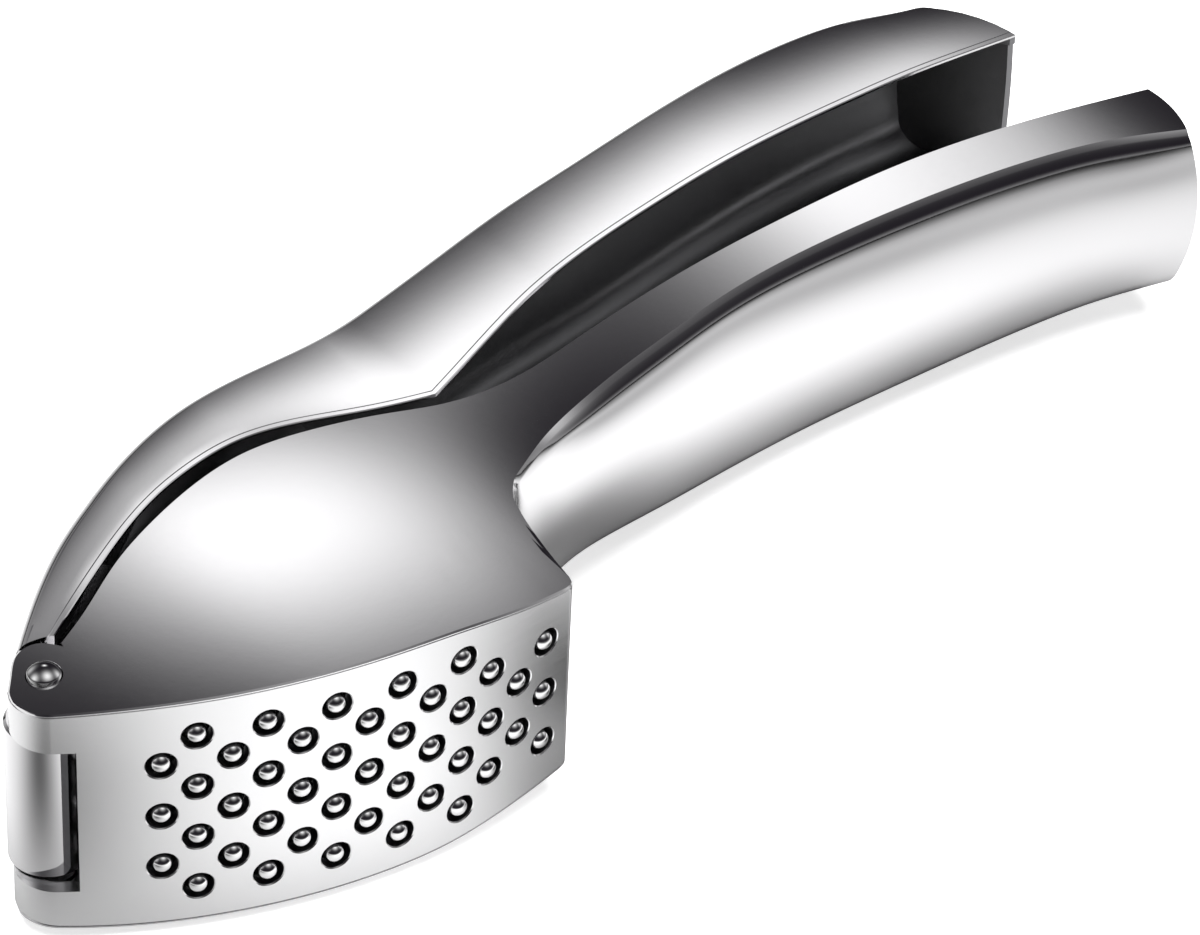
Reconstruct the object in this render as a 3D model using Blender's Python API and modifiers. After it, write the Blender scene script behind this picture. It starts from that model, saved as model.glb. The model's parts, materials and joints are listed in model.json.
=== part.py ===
"""Garlic press with a curved perforated press face, closed and lying on its side.

Every curve below is in millimetres in a plane across the hinge pin: the pin's axis is the origin,
X runs from the nose to the handle ends, Y from the press face to the lever, and Z along the pin.
"""

import math

import bmesh
import bpy
import numpy as np

MM = 0.001
WELD_DISTANCE = 0.000002

# Press face: one large arc, which a small arc carries on round the nose
FACE_CENTRE = (39.0, 58.9)
FACE_RADIUS = 76.6
FACE_ANGLES = (-32.5, 11.1)
FACE_STEPS = 20
NOSE_RADIUS = 4.5
NOSE_START_ANGLE = 172.0
NOSE_STEPS = 8
EAR_CENTRE = (0.2, 0.6)
EAR_RADIUS = 4.4
SIEVE_THICKNESS = 1.6
SIEVE_HALF_WIDTHS = ((-5.2, 14.5), (30.0, 14.5), (38.0, 14.1), (45.0, 13.1), (54.5, 11.8))
SEAT_HALF_WIDTH = 20.0
WINDOW_HALF_HEIGHT = 9.1
WINDOW_EDGE = (-0.5, -6.4)
WINDOW_EDGE_ANGLE = 47.0
WINDOW_EDGE_REACH = 8.0
WINDOW_CORNER = (-12.0, 9.0)

# Holes in staggered columns, each with a stud of the plunger standing in it
FIRST_COLUMN_ANGLE = -25.0
HOLE_COLUMNS = 13
HOLE_PITCH = 3.635
HOLE_STEP_ACROSS = 3.3
HOLE_RADIUS = 1.6
STUD_RADIUS = 1.15
STUD_PROUD = 0.35
STUD_DEPTH = 4.2
SHORT_COLUMN = 11

# Chamber, plunger and hinge
CHAMBER_RADIUS = 53.4
CHAMBER_HALF_WIDTH = 11.2
PLUNGER_HALF_WIDTH = 10.7
PLUNGER_THICKNESS = 2.6
FACE_GAP = 0.5
PLUNGER_ANGLES = (-24.6, 8.75)
TONGUE = ((13.5, -9.5), (24.0, -12.6), (34.0, -14.0), (48.0, -13.2), (48.0, 12.5), (18.0, 12.0))
TONGUE_HALF_WIDTH = 3.6
KNUCKLE_RADIUS = 4.2
KNUCKLE_HALF_LENGTH = 8.9
LEVER_ROOT = ((9.0, 5.5), (19.0, 15.5), (17.0, 18.6), (9.5, 13.8), (2.6, 8.1))
WASHER_RADII = (2.1, 2.7)
WASHER_SPAN = (9.4, 10.9)
PIN_RADIUS = 1.75
PIN_HALF_LENGTH = 14.6
PIN_DOME = 0.9
BORE_CLEARANCE = 0.1
DOWEL_RADIUS = 1.5
DOWEL_HALF_LENGTH = 7.2
DOWEL_CENTRES = ((22.0, 7.5), (42.0, 9.0))
CHEEK = (
    (17.0, 3.5), (46.5, 5.0), (48.0, 14.0), (50.0, 30.5), (37.0, 29.0), (28.0, 25.0), (18.5, 17.0),
)
CHEEK_SPAN = (4.0, 7.0)
JOINT_GAP = 0.3
CUT_REACH = 20.0

# Shells
BODY_WALL = 2.0
LEVER_WALL = 1.8
LEVER_CORNER = 4.5
STEPS_PER_ROW = 3

# Body: outer edge x y, inner edge x y, half width at the outer edge, middle and inner edge, bulge
HEAD_ROWS = (
    (-3.2, -3.2, -0.5, 3.0, 14.5, 14.5, 14.5, 0.0),
    (-0.6, -6.1, 4.4, 3.4, 14.5, 14.6, 14.4, 0.0),
    (6.6, -10.5, 9.0, 6.5, 14.5, 14.9, 14.2, 0.0),
    (14.7, -13.7, 16.0, 11.2, 14.5, 15.2, 14.1, 0.0),
    (24.3, -16.3, 25.2, 15.9, 14.5, 15.3, 14.0, 0.0),
    (34.1, -17.6, 34.4, 18.8, 14.4, 15.1, 13.7, 0.0),
    (44.0, -17.6, 43.4, 19.2, 13.2, 14.3, 13.2, 0.0),
    (53.8, -16.3, 50.5, 18.3, 11.8, 13.2, 12.6, 0.0),
)
HEEL_ROWS = (
    HEAD_ROWS[-1],
    (54.4, -9.0, 53.2, 17.9, 11.9, 12.8, 12.2, 0.0),
    (56.8, -1.3, 56.4, 17.3, 11.7, 12.2, 11.8, 0.0),
)
HANDLE_ROWS = (
    HEEL_ROWS[-1],
    (60.4, 2.2, 60.8, 16.8, 11.2, 11.5, 11.2, 2.0),
    (66.1, 5.8, 66.2, 16.9, 10.6, 10.8, 10.6, 3.2),
    (72.8, 8.5, 71.8, 17.2, 10.5, 10.6, 10.5, 3.8),
    (79.0, 10.0, 78.0, 18.0, 11.2, 11.2, 11.2, 4.0),
    (87.0, 11.4, 85.6, 18.7, 11.8, 11.8, 11.8, 4.0),
    (96.8, 13.0, 96.1, 19.9, 12.6, 12.6, 12.6, 4.0),
    (110.0, 14.2, 109.5, 21.1, 12.8, 12.8, 12.8, 4.0),
    (124.9, 14.4, 124.6, 21.9, 12.7, 12.7, 12.7, 4.0),
    (143.0, 13.6, 142.5, 21.3, 12.0, 12.0, 12.0, 4.0),
    (152.5, 12.2, 154.0, 20.4, 11.4, 11.4, 11.4, 3.8),
    (160.2, 9.8, 162.4, 19.5, 10.5, 10.5, 10.5, 3.2),
)
BODY_TROUGH_ROWS = (3, 10)

# Lever: rim x y, outer edge x y, half width, rounding beyond the outer edge
LID_ROWS = (
    (4.5, 5.0, 1.8, 8.4, 13.8, 0.3),
    (13.3, 10.9, 9.8, 14.6, 14.1, 0.8),
    (22.8, 16.6, 18.6, 20.6, 14.1, 1.6),
    (30.7, 19.5, 28.0, 25.3, 14.0, 2.4),
    (37.6, 20.9, 36.5, 28.2, 13.7, 3.0),
    (43.3, 20.5, 43.5, 29.4, 13.3, 3.4),
    (48.6, 19.4, 49.8, 30.2, 12.8, 3.5),
    (54.1, 18.5, 55.2, 31.2, 12.2, 3.5),
    (60.4, 17.6, 60.0, 32.3, 11.8, 3.5),
)
ARM_ROWS = (
    LID_ROWS[-1],
    (68.9, 21.7, 65.4, 33.8, 11.6, 3.5),
    (80.2, 26.5, 76.4, 36.7, 11.9, 3.5),
    (90.1, 29.2, 87.2, 39.4, 12.3, 3.5),
    (99.4, 31.0, 97.4, 41.4, 12.6, 3.5),
    (111.8, 33.1, 110.2, 44.1, 12.7, 3.5),
    (120.3, 34.1, 119.0, 46.0, 12.6, 3.3),
    (132.8, 35.2, 131.8, 48.1, 12.2, 2.8),
    (143.1, 36.0, 141.9, 48.9, 11.6, 2.0),
    (157.7, 36.6, 150.6, 48.6, 10.4, 0.6),
)
HOLLOW_END_ROW = (155.9, 36.6, 149.0, 48.2, 10.6, 0.6)


def material(name, colour, roughness):
    """A bare metal."""
    made = bpy.data.materials.new(name)
    made.use_nodes = True
    shader = made.node_tree.nodes["Principled BSDF"]
    shader.inputs["Base Color"].default_value = (*colour, 1.0)
    shader.inputs["Metallic"].default_value = 1.0
    shader.inputs["Roughness"].default_value = roughness
    return made


def collection(name):
    made = bpy.data.collections.new(name)
    bpy.context.scene.collection.children.link(made)
    return made


def add_object(name, mesh, finish):
    """A part on the hinge axis, where every curve of this file has its origin."""
    made = bpy.data.objects.new(name, mesh)
    parts.objects.link(made)
    made.parent = hinge_axis
    if finish:
        mesh.materials.append(finish)
    return made


def add_cutter(name, mesh):
    made = bpy.data.objects.new(name, mesh)
    cutters.objects.link(made)
    made.parent = hinge_axis
    made.hide_render = True
    made.display_type = "WIRE"
    return made


def boolean(target, tool, operation, solver="EXACT"):
    """Cuts or joins, and keeps the result as the object's own mesh.

    The exact solver leaves open edges where a tool grazes the castings' long lofted walls, so those
    few steps ask for the manifold solver.
    """
    step = target.modifiers.new(operation.title(), "BOOLEAN")
    step.operation = operation
    step.solver = solver
    step.object = tool
    bpy.context.view_layer.update()
    graph = bpy.context.evaluated_depsgraph_get()
    result = bpy.data.meshes.new_from_object(target.evaluated_get(graph))
    target.modifiers.remove(step)
    work = bmesh.new()
    work.from_mesh(result)
    bmesh.ops.remove_doubles(work, verts=work.verts, dist=WELD_DISTANCE)
    work.to_mesh(result)
    work.free()
    target.data = result


def mesh_from(name, work):
    """The mesh of a bmesh in millimetres."""
    bmesh.ops.recalc_face_normals(work, faces=work.faces)
    bmesh.ops.scale(work, vec=(MM, MM, MM), verts=work.verts)
    mesh = bpy.data.meshes.new(name)
    work.to_mesh(mesh)
    work.free()
    return mesh


def loft(name, rings):
    """A closed skin over rings of equally many points, with a flat cap at each end."""
    work = bmesh.new()
    made = [[work.verts.new(point) for point in ring] for ring in rings]
    count = len(made[0])
    for first, second in zip(made, made[1:]):
        for i in range(count):
            j = (i + 1) % count
            work.faces.new((first[i], first[j], second[j], second[i]))
    work.faces.new(made[0][::-1])
    work.faces.new(made[-1])
    bent = [face for face in work.faces if len(face.verts) == 4]
    bmesh.ops.triangulate(work, faces=bent)
    return mesh_from(name, work)


def prism(name, outline, low, high):
    """A flat outline carried along the pin's axis from one height to another."""
    return loft(name, [[(x, y, z) for x, y in outline] for z in (low, high)])


def disc(centre, radius, segments):
    angles = [2 * math.pi * i / segments for i in range(segments)]
    return [(centre[0] + radius * math.cos(a), centre[1] + radius * math.sin(a)) for a in angles]


def smooth_rows(rows, steps):
    """A Catmull-Rom curve through the rows, each a point of any size."""
    rows = np.array(rows, float)
    padded = np.vstack([2 * rows[0] - rows[1], rows, 2 * rows[-1] - rows[-2]])
    found = []
    for a, b, c, d in zip(padded, padded[1:], padded[2:], padded[3:]):
        for t in np.arange(steps) / steps:
            found.append(
                b + 0.5 * t * (c - a + t * (2 * a - 5 * b + 4 * c - d + t * (3 * (b - c) + d - a)))
            )
    return np.array(found + [rows[-1]])


def face_point(angle):
    """A point of the press face's arc, at an angle from straight down in degrees."""
    turn = math.radians(angle)
    return (
        FACE_CENTRE[0] + FACE_RADIUS * math.sin(turn),
        FACE_CENTRE[1] - FACE_RADIUS * math.cos(turn),
    )


def sieve_outline():
    """The outer line of the perforated strip: round the nose, then along the press face."""
    join, end = FACE_ANGLES
    turn = math.radians(join)
    centre = (
        FACE_CENTRE[0] + (FACE_RADIUS - NOSE_RADIUS) * math.sin(turn),
        FACE_CENTRE[1] - (FACE_RADIUS - NOSE_RADIUS) * math.cos(turn),
    )
    nose = []
    for turn in np.radians(np.linspace(NOSE_START_ANGLE, 270.0 + join, NOSE_STEPS)):
        nose.append(
            (centre[0] + NOSE_RADIUS * math.cos(turn), centre[1] + NOSE_RADIUS * math.sin(turn))
        )
    face = [face_point(angle) for angle in np.linspace(join, end, FACE_STEPS)]
    return np.vstack([nose[:-1], face])


def inward(line):
    """Unit vectors across a line, to its left."""
    along = np.gradient(line, axis=0)
    along /= np.linalg.norm(along, axis=1)[:, None]
    return np.stack([-along[:, 1], along[:, 0]], 1)


def strip(name, line, near, far, half_widths):
    """A strip between two distances inside a line, with its own half width at each point."""
    normals = inward(line)
    rings = []
    for point, normal, half in zip(line, normals, half_widths):
        outer = point + near * normal
        inner = point + far * normal
        rings.append([(*outer, -half), (*outer, half), (*inner, half), (*inner, -half)])
    return loft(name, rings)


def sieve_half_width(line):
    table = np.array(SIEVE_HALF_WIDTHS)
    return np.interp(line[:, 0], table[:, 0], table[:, 1])


def hole_places():
    """Each hole's point on the press face and the way the plunger moves there as it closes."""
    places = []
    for column in range(HOLE_COLUMNS):
        angle = FIRST_COLUMN_ANGLE + math.degrees(column * HOLE_PITCH / FACE_RADIUS)
        x, y = face_point(angle)
        reach = math.hypot(x, y)
        if column % 2 == 0:
            across = (-2, 0, 2)
        elif column == SHORT_COLUMN:
            across = (-1, 1)
        else:
            across = (-3, -1, 1, 3)
        for step in across:
            places.append(((x, y, step * HOLE_STEP_ACROSS), (y / reach, -x / reach)))
    return places


def rods(name, radius, inside, outside, segments, rounded):
    """A rod through every hole, along the plunger's path, from inside to outside the face."""
    work = bmesh.new()
    for (x, y, z), (out_x, out_y) in hole_places():
        if rounded:
            made = bmesh.ops.create_uvsphere(work, u_segments=segments, v_segments=6, radius=radius)
            for vertex in made["verts"]:
                if vertex.co.z > 1e-6:
                    vertex.co.z += outside - radius
                else:
                    vertex.co.z -= inside - radius
        else:
            made = bmesh.ops.create_cone(
                work,
                cap_ends=True,
                segments=segments,
                radius1=radius,
                radius2=radius,
                depth=inside + outside,
            )
            for vertex in made["verts"]:
                vertex.co.z += (outside - inside) / 2
        for vertex in made["verts"]:
            across, up, along = vertex.co
            vertex.co = (
                x + along * out_x - across * out_y,
                y + along * out_y + across * out_x,
                z + up,
            )
    return mesh_from(name, work)


def body_rings(rows, steps):
    """Cross-sections of the body: flat edge band, rounded side walls and a bulging outer face."""
    rings = []
    for row in smooth_rows(rows, steps):
        outer, inner = row[0:2], row[2:4]
        low, middle, high, bulge = row[4:8]
        across = (inner - outer) / np.linalg.norm(inner - outer)
        side = []
        for v in (0.0, 0.2, 0.5, 0.8, 1.0):
            half = low * (1 - v) + high * v + (2 * middle - low - high) * 2 * v * (1 - v)
            side.append((*(outer + v * (inner - outer)), half))
        ring = side + [(x, y, -z) for x, y, z in reversed(side)]
        for u in (-0.75, -0.4, 0.0, 0.4, 0.75):
            ring.append((*(outer - across * bulge * (1 - u * u)), u * low))
        rings.append(ring)
    return rings


def body_trough():
    """The hollow of the body's handle, open towards the lever."""
    first, last = BODY_TROUGH_ROWS
    rings = []
    for row in smooth_rows(HANDLE_ROWS[first : last + 1], STEPS_PER_ROW):
        outer, inner = row[0:2], row[2:4]
        across = (inner - outer) / np.linalg.norm(inner - outer)
        half = row[4] - BODY_WALL
        top = inner + 3.0 * across
        ring = [(*top, half), (*top, -half)]
        for u in (-1.0, -0.6, 0.0, 0.6, 1.0):
            depth = row[7] * (1 - u * u) - BODY_WALL - 0.8 * u * u
            ring.append((*(outer - across * depth), u * half))
        rings.append(ring)
    return loft("body_trough", rings)


def lever_rings(rows, steps, inset, above):
    """Cross-sections of the lever, or of the hollow inside it when there is an inset."""
    rings = []
    for row in smooth_rows(rows, steps):
        rim, edge = row[0:2], row[2:4]
        half, beyond = row[4] - inset, row[5]
        out = (edge - rim) / np.linalg.norm(edge - rim)
        depth = np.linalg.norm(edge - rim) + beyond - inset
        corner = min(LEVER_CORNER, 0.45 * depth)
        side = [(half, -above), (half, 0.5 * (depth - corner))]
        for turn in np.radians((0, 30, 60, 90)):
            side.append(
                (half - corner * (1 - math.cos(turn)), depth - corner * (1 - math.sin(turn)))
            )
        side.append((0.4 * half, depth + 0.06 * half))
        ring = [(*(rim + d * out), z) for z, d in side]
        ring += [(x, y, -z) for x, y, z in reversed(ring)]
        rings.append(ring)
    return rings


def lever_shell():
    """The lever's outer skin, cut hollow from the side that faces the body."""
    skin = lever_rings(LID_ROWS, STEPS_PER_ROW, 0.0, 0.0)
    skin += lever_rings(ARM_ROWS, STEPS_PER_ROW, 0.0, 0.0)[1:]
    hollow = lever_rings(LID_ROWS, STEPS_PER_ROW, LEVER_WALL, 1.0)[2:]
    hollow += lever_rings(ARM_ROWS[:-1] + (HOLLOW_END_ROW,), STEPS_PER_ROW, LEVER_WALL, 1.0)[1:]
    return loft("lever_arm", skin), loft("lever_hollow", hollow)


def capped_pin(name, centre, radius, half_length, dome, finish):
    """A pin with domed ends, turned about its own axis."""
    profile = [(radius, half_length)]
    if dome:
        ball = (radius**2 + dome**2) / (2 * dome)
        profile = [
            (r, half_length - ball + dome + math.sqrt(ball**2 - r**2))
            for r in (0.0, 0.45 * radius, 0.8 * radius, radius)
        ]
    else:
        profile = [(0.0, half_length)] + profile
    profile += [(r, -z) for r, z in reversed(profile)]
    mesh = bpy.data.meshes.new(name)
    points = [(r * MM, 0.0, z * MM) for r, z in profile]
    mesh.from_pydata(points, [(i, i + 1) for i in range(len(points) - 1)], [])
    made = add_object(name, mesh, finish)
    made.location = (centre[0] * MM, centre[1] * MM, 0.0)
    turn = made.modifiers.new("Turn", "SCREW")
    turn.steps = 20
    turn.render_steps = 20
    turn.use_merge_vertices = True
    turn.merge_threshold = 0.00001
    return made


def make_sieve():
    line = sieve_outline()
    made = add_object(
        "sieve_insert",
        strip("sieve_insert", line, 0.0, SIEVE_THICKNESS, sieve_half_width(line)),
        satin_steel,
    )
    turn = math.radians(WINDOW_EDGE_ANGLE)
    below, above = [
        (WINDOW_EDGE[0] + reach * math.cos(turn), WINDOW_EDGE[1] + reach * math.sin(turn))
        for reach in (-WINDOW_EDGE_REACH, WINDOW_EDGE_REACH)
    ]
    left, top = WINDOW_CORNER
    outline = (below, above, (above[0], top), (left, top), (left, below[1]))
    window = prism("window", outline, -WINDOW_HALF_HEIGHT, WINDOW_HALF_HEIGHT)
    boolean(made, add_cutter("window_cutter", window), "DIFFERENCE")
    holes = rods("holes", HOLE_RADIUS, 5.0, 3.0, 12, False)
    boolean(made, add_cutter("hole_cutters", holes), "DIFFERENCE")


def make_body():
    rings = body_rings(HEAD_ROWS, STEPS_PER_ROW)
    rings += body_rings(HEEL_ROWS, STEPS_PER_ROW)[1:]
    rings += body_rings(HANDLE_ROWS, STEPS_PER_ROW)[1:]
    made = add_object("press_body", loft("press_body", rings), polished_chrome)
    ear_half_width = SIEVE_HALF_WIDTHS[0][1]
    ear = prism("ear", disc(EAR_CENTRE, EAR_RADIUS, 28), -ear_half_width, ear_half_width)
    boolean(made, add_cutter("ear_about_pin", ear), "UNION")
    seat_line = sieve_outline()
    normals = inward(seat_line)
    seat_line[0] -= JOINT_GAP * np.array([normals[0][1], -normals[0][0]])
    seat_line[-1] += 6.0 * np.array([normals[-1][1], -normals[-1][0]])
    wide = np.full(len(seat_line), SEAT_HALF_WIDTH)
    seat = strip("seat", seat_line, -3.0, SIEVE_THICKNESS + JOINT_GAP, wide)
    boolean(made, add_cutter("sieve_seat", seat), "DIFFERENCE")
    round_wall = disc((0, 0), CHAMBER_RADIUS, 96)
    chamber = prism("chamber", round_wall, -CHAMBER_HALF_WIDTH, CHAMBER_HALF_WIDTH)
    boolean(made, add_cutter("chamber_cutter", chamber), "DIFFERENCE")
    boolean(made, add_cutter("trough_cutter", body_trough()), "DIFFERENCE", "MANIFOLD")
    bore = prism("bore", disc((0, 0), PIN_RADIUS + BORE_CLEARANCE, 20), -CUT_REACH, CUT_REACH)
    boolean(made, add_cutter("body_bore", bore), "DIFFERENCE")


def make_lever():
    skin, hollow = lever_shell()
    made = add_object("lever_arm", skin, polished_chrome)
    boolean(made, add_cutter("lever_hollow", hollow), "DIFFERENCE")
    barrel = [point for point in disc((0, 0), KNUCKLE_RADIUS, 28) if point[0] < 3.9]
    root = list(LEVER_ROOT) + barrel[6:-2]
    knuckle = prism("root", root, -KNUCKLE_HALF_LENGTH, KNUCKLE_HALF_LENGTH)
    boolean(made, add_cutter("lever_root", knuckle), "UNION", "MANIFOLD")
    low, high = CHEEK_SPAN
    for side, span in (("lower", (-high, -low)), ("upper", (low, high))):
        cheek = add_cutter("lever_cheek_" + side, prism("cheek", CHEEK, *span))
        boolean(made, cheek, "UNION", "MANIFOLD")
    for end, hole in zip(("front", "rear"), dowel_holes()):
        boolean(made, add_cutter("lever_dowel_hole_" + end, hole), "DIFFERENCE", "MANIFOLD")
    bore = prism("bore", disc((0, 0), PIN_RADIUS + BORE_CLEARANCE, 20), -CUT_REACH, CUT_REACH)
    boolean(made, add_cutter("lever_bore", bore), "DIFFERENCE", "MANIFOLD")


def dowel_holes():
    radius = DOWEL_RADIUS + JOINT_GAP
    return [prism("dowel_hole", disc(c, radius, 16), -CUT_REACH, CUT_REACH) for c in DOWEL_CENTRES]


def make_plunger():
    near = SIEVE_THICKNESS + FACE_GAP
    line = np.array([face_point(angle) for angle in np.linspace(*PLUNGER_ANGLES, 15)])
    width = np.full(len(line), PLUNGER_HALF_WIDTH)
    plate = strip("plunger", line, near, near + PLUNGER_THICKNESS, width)
    made = add_object("plunger", plate, polished_chrome)
    post = prism("tongue", TONGUE, -TONGUE_HALF_WIDTH, TONGUE_HALF_WIDTH)
    boolean(made, add_cutter("plunger_tongue", post), "UNION")
    studs = rods("studs", STUD_RADIUS, STUD_DEPTH, STUD_PROUD, 10, True)
    boolean(made, add_cutter("plunger_studs", studs), "UNION")
    for end, hole in zip(("front", "rear"), dowel_holes()):
        boolean(made, add_cutter("plunger_dowel_hole_" + end, hole), "DIFFERENCE")


def make_hinge():
    capped_pin("hinge_pin", (0, 0), PIN_RADIUS, PIN_HALF_LENGTH, PIN_DOME, pin_steel)
    inner, outer = WASHER_RADII
    low, high = WASHER_SPAN
    for name, span in (("hinge_washer_upper", (low, high)), ("hinge_washer_lower", (-high, -low))):
        washer = add_object(name, prism(name, disc((0, 0), outer, 24), *span), washer_steel)
        hole = prism("washer_hole", disc((0, 0), inner, 24), -CUT_REACH, CUT_REACH)
        boolean(washer, add_cutter(name + "_hole", hole), "DIFFERENCE")


def make_dowels():
    for name, centre in zip(("plunger_dowel_front", "plunger_dowel_rear"), DOWEL_CENTRES):
        capped_pin(name, centre, DOWEL_RADIUS, DOWEL_HALF_LENGTH, 0.0, pin_steel)


def stand_on_ground():
    """Puts the closed press's lowest point at Z 0 and the middle of its footprint at the origin."""
    bpy.context.view_layer.update()
    graph = bpy.context.evaluated_depsgraph_get()
    corners = []
    for part in parts.objects:
        placed = part.evaluated_get(graph)
        corners += [placed.matrix_world @ vertex.co for vertex in placed.data.vertices]
    low = np.min(corners, axis=0)
    high = np.max(corners, axis=0)
    hinge_axis.location = (-(low[0] + high[0]) / 2, -(low[1] + high[1]) / 2, -low[2])


for leftover in list(bpy.data.objects):
    bpy.data.objects.remove(leftover, do_unlink=True)
parts = collection("garlic_press")
cutters = collection("cutters")
hinge_axis = bpy.data.objects.new("hinge_axis", None)
bpy.context.scene.collection.objects.link(hinge_axis)
polished_chrome = material("polished_chrome", (0.78, 0.78, 0.79), 0.08)
satin_steel = material("satin_steel", (0.72, 0.72, 0.73), 0.25)
pin_steel = material("pin_steel", (0.75, 0.75, 0.76), 0.15)
washer_steel = material("washer_steel", (0.6, 0.6, 0.61), 0.3)

make_sieve()
make_body()
make_lever()
make_plunger()
make_hinge()
make_dowels()
stand_on_ground()
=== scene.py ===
"""Garlic press: smooth polished castings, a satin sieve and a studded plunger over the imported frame.

Outlines are in millimetres in a plane across the hinge pin: the pin's axis is the origin, X runs from
the nose to the handle ends, Y from the press face to the lever, and Z along the pin.
"""

import json
import math

import bmesh
import bpy
import numpy as np
from mathutils import Matrix, Vector


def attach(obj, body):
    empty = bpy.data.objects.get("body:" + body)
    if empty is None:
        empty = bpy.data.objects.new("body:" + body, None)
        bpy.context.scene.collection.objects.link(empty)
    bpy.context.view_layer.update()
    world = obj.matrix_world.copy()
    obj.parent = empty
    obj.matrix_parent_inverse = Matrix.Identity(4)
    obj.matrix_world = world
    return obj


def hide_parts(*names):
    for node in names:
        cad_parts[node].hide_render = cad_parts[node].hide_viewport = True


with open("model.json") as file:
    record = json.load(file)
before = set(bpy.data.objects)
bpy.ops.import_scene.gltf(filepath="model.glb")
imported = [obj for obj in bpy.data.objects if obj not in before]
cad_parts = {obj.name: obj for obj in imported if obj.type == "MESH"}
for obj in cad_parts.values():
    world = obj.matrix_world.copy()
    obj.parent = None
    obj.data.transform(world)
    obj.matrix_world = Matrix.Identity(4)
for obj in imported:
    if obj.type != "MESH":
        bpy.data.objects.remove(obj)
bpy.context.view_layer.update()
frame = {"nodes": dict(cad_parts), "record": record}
HINGE = Vector(frame["record"]["behaviour"]["joints"][0]["pos_m"])
BODY, LEVER = "press_body_fixed", "lever"
MM = 0.001

# The press face is an arc, its angles in degrees from straight down; the nose is a smaller arc that meets it
FACE_CENTRE = np.array((39.0, 58.9))
FACE_RADIUS = 76.6
FACE_FIRST_ANGLE = -32.8
FACE_LAST_ANGLE = 9.8
NOSE_RADIUS = 4.5
NOSE_START_ANGLE = 150.0
HEEL_RADIUS = 1.6
HEEL_LAST_ANGLE = 76.0
# The body's outline above the hinge pin
EAR = (
    (-3.96, 0.535), (-2.61, 2.25), (-1.44, 3.74), (-0.5, 4.6), (0.4, 5.0), (1.4, 5.1), (2.4, 4.75),
    (3.3, 3.9), (4.0, 2.9),
)

SIEVE_THICKNESS = 1.6
SIEVE_EDGE = 0.15
FIRST_COLUMN_ANGLE = -25.0
HOLE_COLUMNS = 13
HOLE_PITCH = 3.635
HOLE_STEP_ACROSS = 3.3
SHORT_COLUMN = 11
HOLE_RADIUS = 1.62
HOLE_EDGE = 0.12
STUD_RADIUS = 1.16
STUD_PROUD = 0.35
STUD_ROOT = 4.0
WINDOW_HALF_HEIGHT = 9.1
WINDOW_CORNER = (-0.5, -6.4)
WINDOW_TURN = 47.0

CHAMBER_RADIUS = 53.4
CHAMBER_HALF_WIDTH = 11.2
SKIRT = 0.28
PIN_BORE = 1.88
PIN_RADIUS = 1.75
PIN_HALF_LENGTH = 15.45
PIN_DOME = 0.85

PLATE_ANGLES = (-24.6, 8.75)
PLATE_INSET = (0.5, 3.1)
PLATE_HALF_WIDTH = 10.7
TONGUE = ((13.5, -9.5), (24.0, -12.6), (34.0, -14.0), (48.0, -13.2), (48.0, 12.5), (18.0, 12.0))
TONGUE_HALF_WIDTH = 3.6
DOWELS = ((22.0, 7.5), (42.0, 9.0))
DOWEL_BORE = 1.8

HANDLE_START = 53.0
TROUGH_ENDS = (68.5, 159.0)
TROUGH_WALL = 2.0
TROUGH_FLOOR = 1.9
# Body, each a curve over X: lower edge behind the press face, rim, half width at the lower edge, extra
# half width midway up the side, half width at the rim, and how far the handle's outer face stands out
LOWER_HANDLE = (
    (56.8, -1.3), (58.3, 0.6), (60.6, 2.4), (66.1, 5.8), (72.8, 8.5), (79.0, 10.0), (87.0, 11.4),
    (96.8, 13.0), (110.0, 14.2), (124.9, 14.4), (143.0, 13.6), (152.5, 12.2), (160.6, 9.9),
)
LOWER_HEEL = ((53.35, -15.3), (53.9, -12.0), (54.6, -8.6), (55.5, -5.0), (56.8, -1.3))
RIM = (
    (4.3, 3.7), (8.0, 5.9), (15.0, 10.7), (21.1, 14.0), (29.3, 17.3), (36.4, 19.0), (42.4, 19.2),
    (48.1, 18.6), (53.7, 17.7), (60.0, 16.9), (66.0, 16.8), (72.0, 17.2), (80.2, 18.2), (96.1, 19.9),
    (113.3, 21.3), (127.5, 21.9), (141.2, 21.5), (154.0, 20.4), (162.6, 19.4),
)
WIDTH_LOWER = (
    (-5.2, 13.9), (2.0, 14.3), (12.0, 14.5), (30.0, 14.5), (38.0, 14.1), (45.0, 13.1), (53.4, 11.9),
    (60.0, 11.1), (66.0, 10.5), (73.0, 10.5), (79.0, 11.1), (87.0, 11.9), (97.0, 12.6), (110.0, 12.8),
    (124.0, 12.7), (143.0, 12.0), (152.0, 11.4), (162.6, 10.5),
)
SWELL = (
    (-5.2, 0.0), (2.0, 0.1), (9.0, 0.35), (18.0, 0.7), (28.0, 0.85), (38.0, 0.75), (48.0, 0.5),
    (60.0, 0.2), (73.0, 0.05), (100.0, 0.0), (162.6, 0.0),
)
WIDTH_RIM = (
    (-5.2, 13.9), (3.0, 14.2), (12.0, 14.3), (24.0, 14.2), (36.0, 13.8), (45.0, 13.1), (53.4, 12.3),
    (60.0, 11.2), (66.0, 10.5), (73.0, 10.5), (79.0, 11.1), (87.0, 11.9), (97.0, 12.6), (110.0, 12.8),
    (124.0, 12.7), (143.0, 12.0), (152.0, 11.4), (162.6, 10.5),
)
BULGE = (
    (56.8, 0.0), (58.2, 0.9), (60.5, 1.6), (64.0, 2.0), (70.0, 2.2), (78.0, 2.3), (90.0, 2.3),
    (140.0, 2.3), (162.6, 1.9),
)

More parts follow.
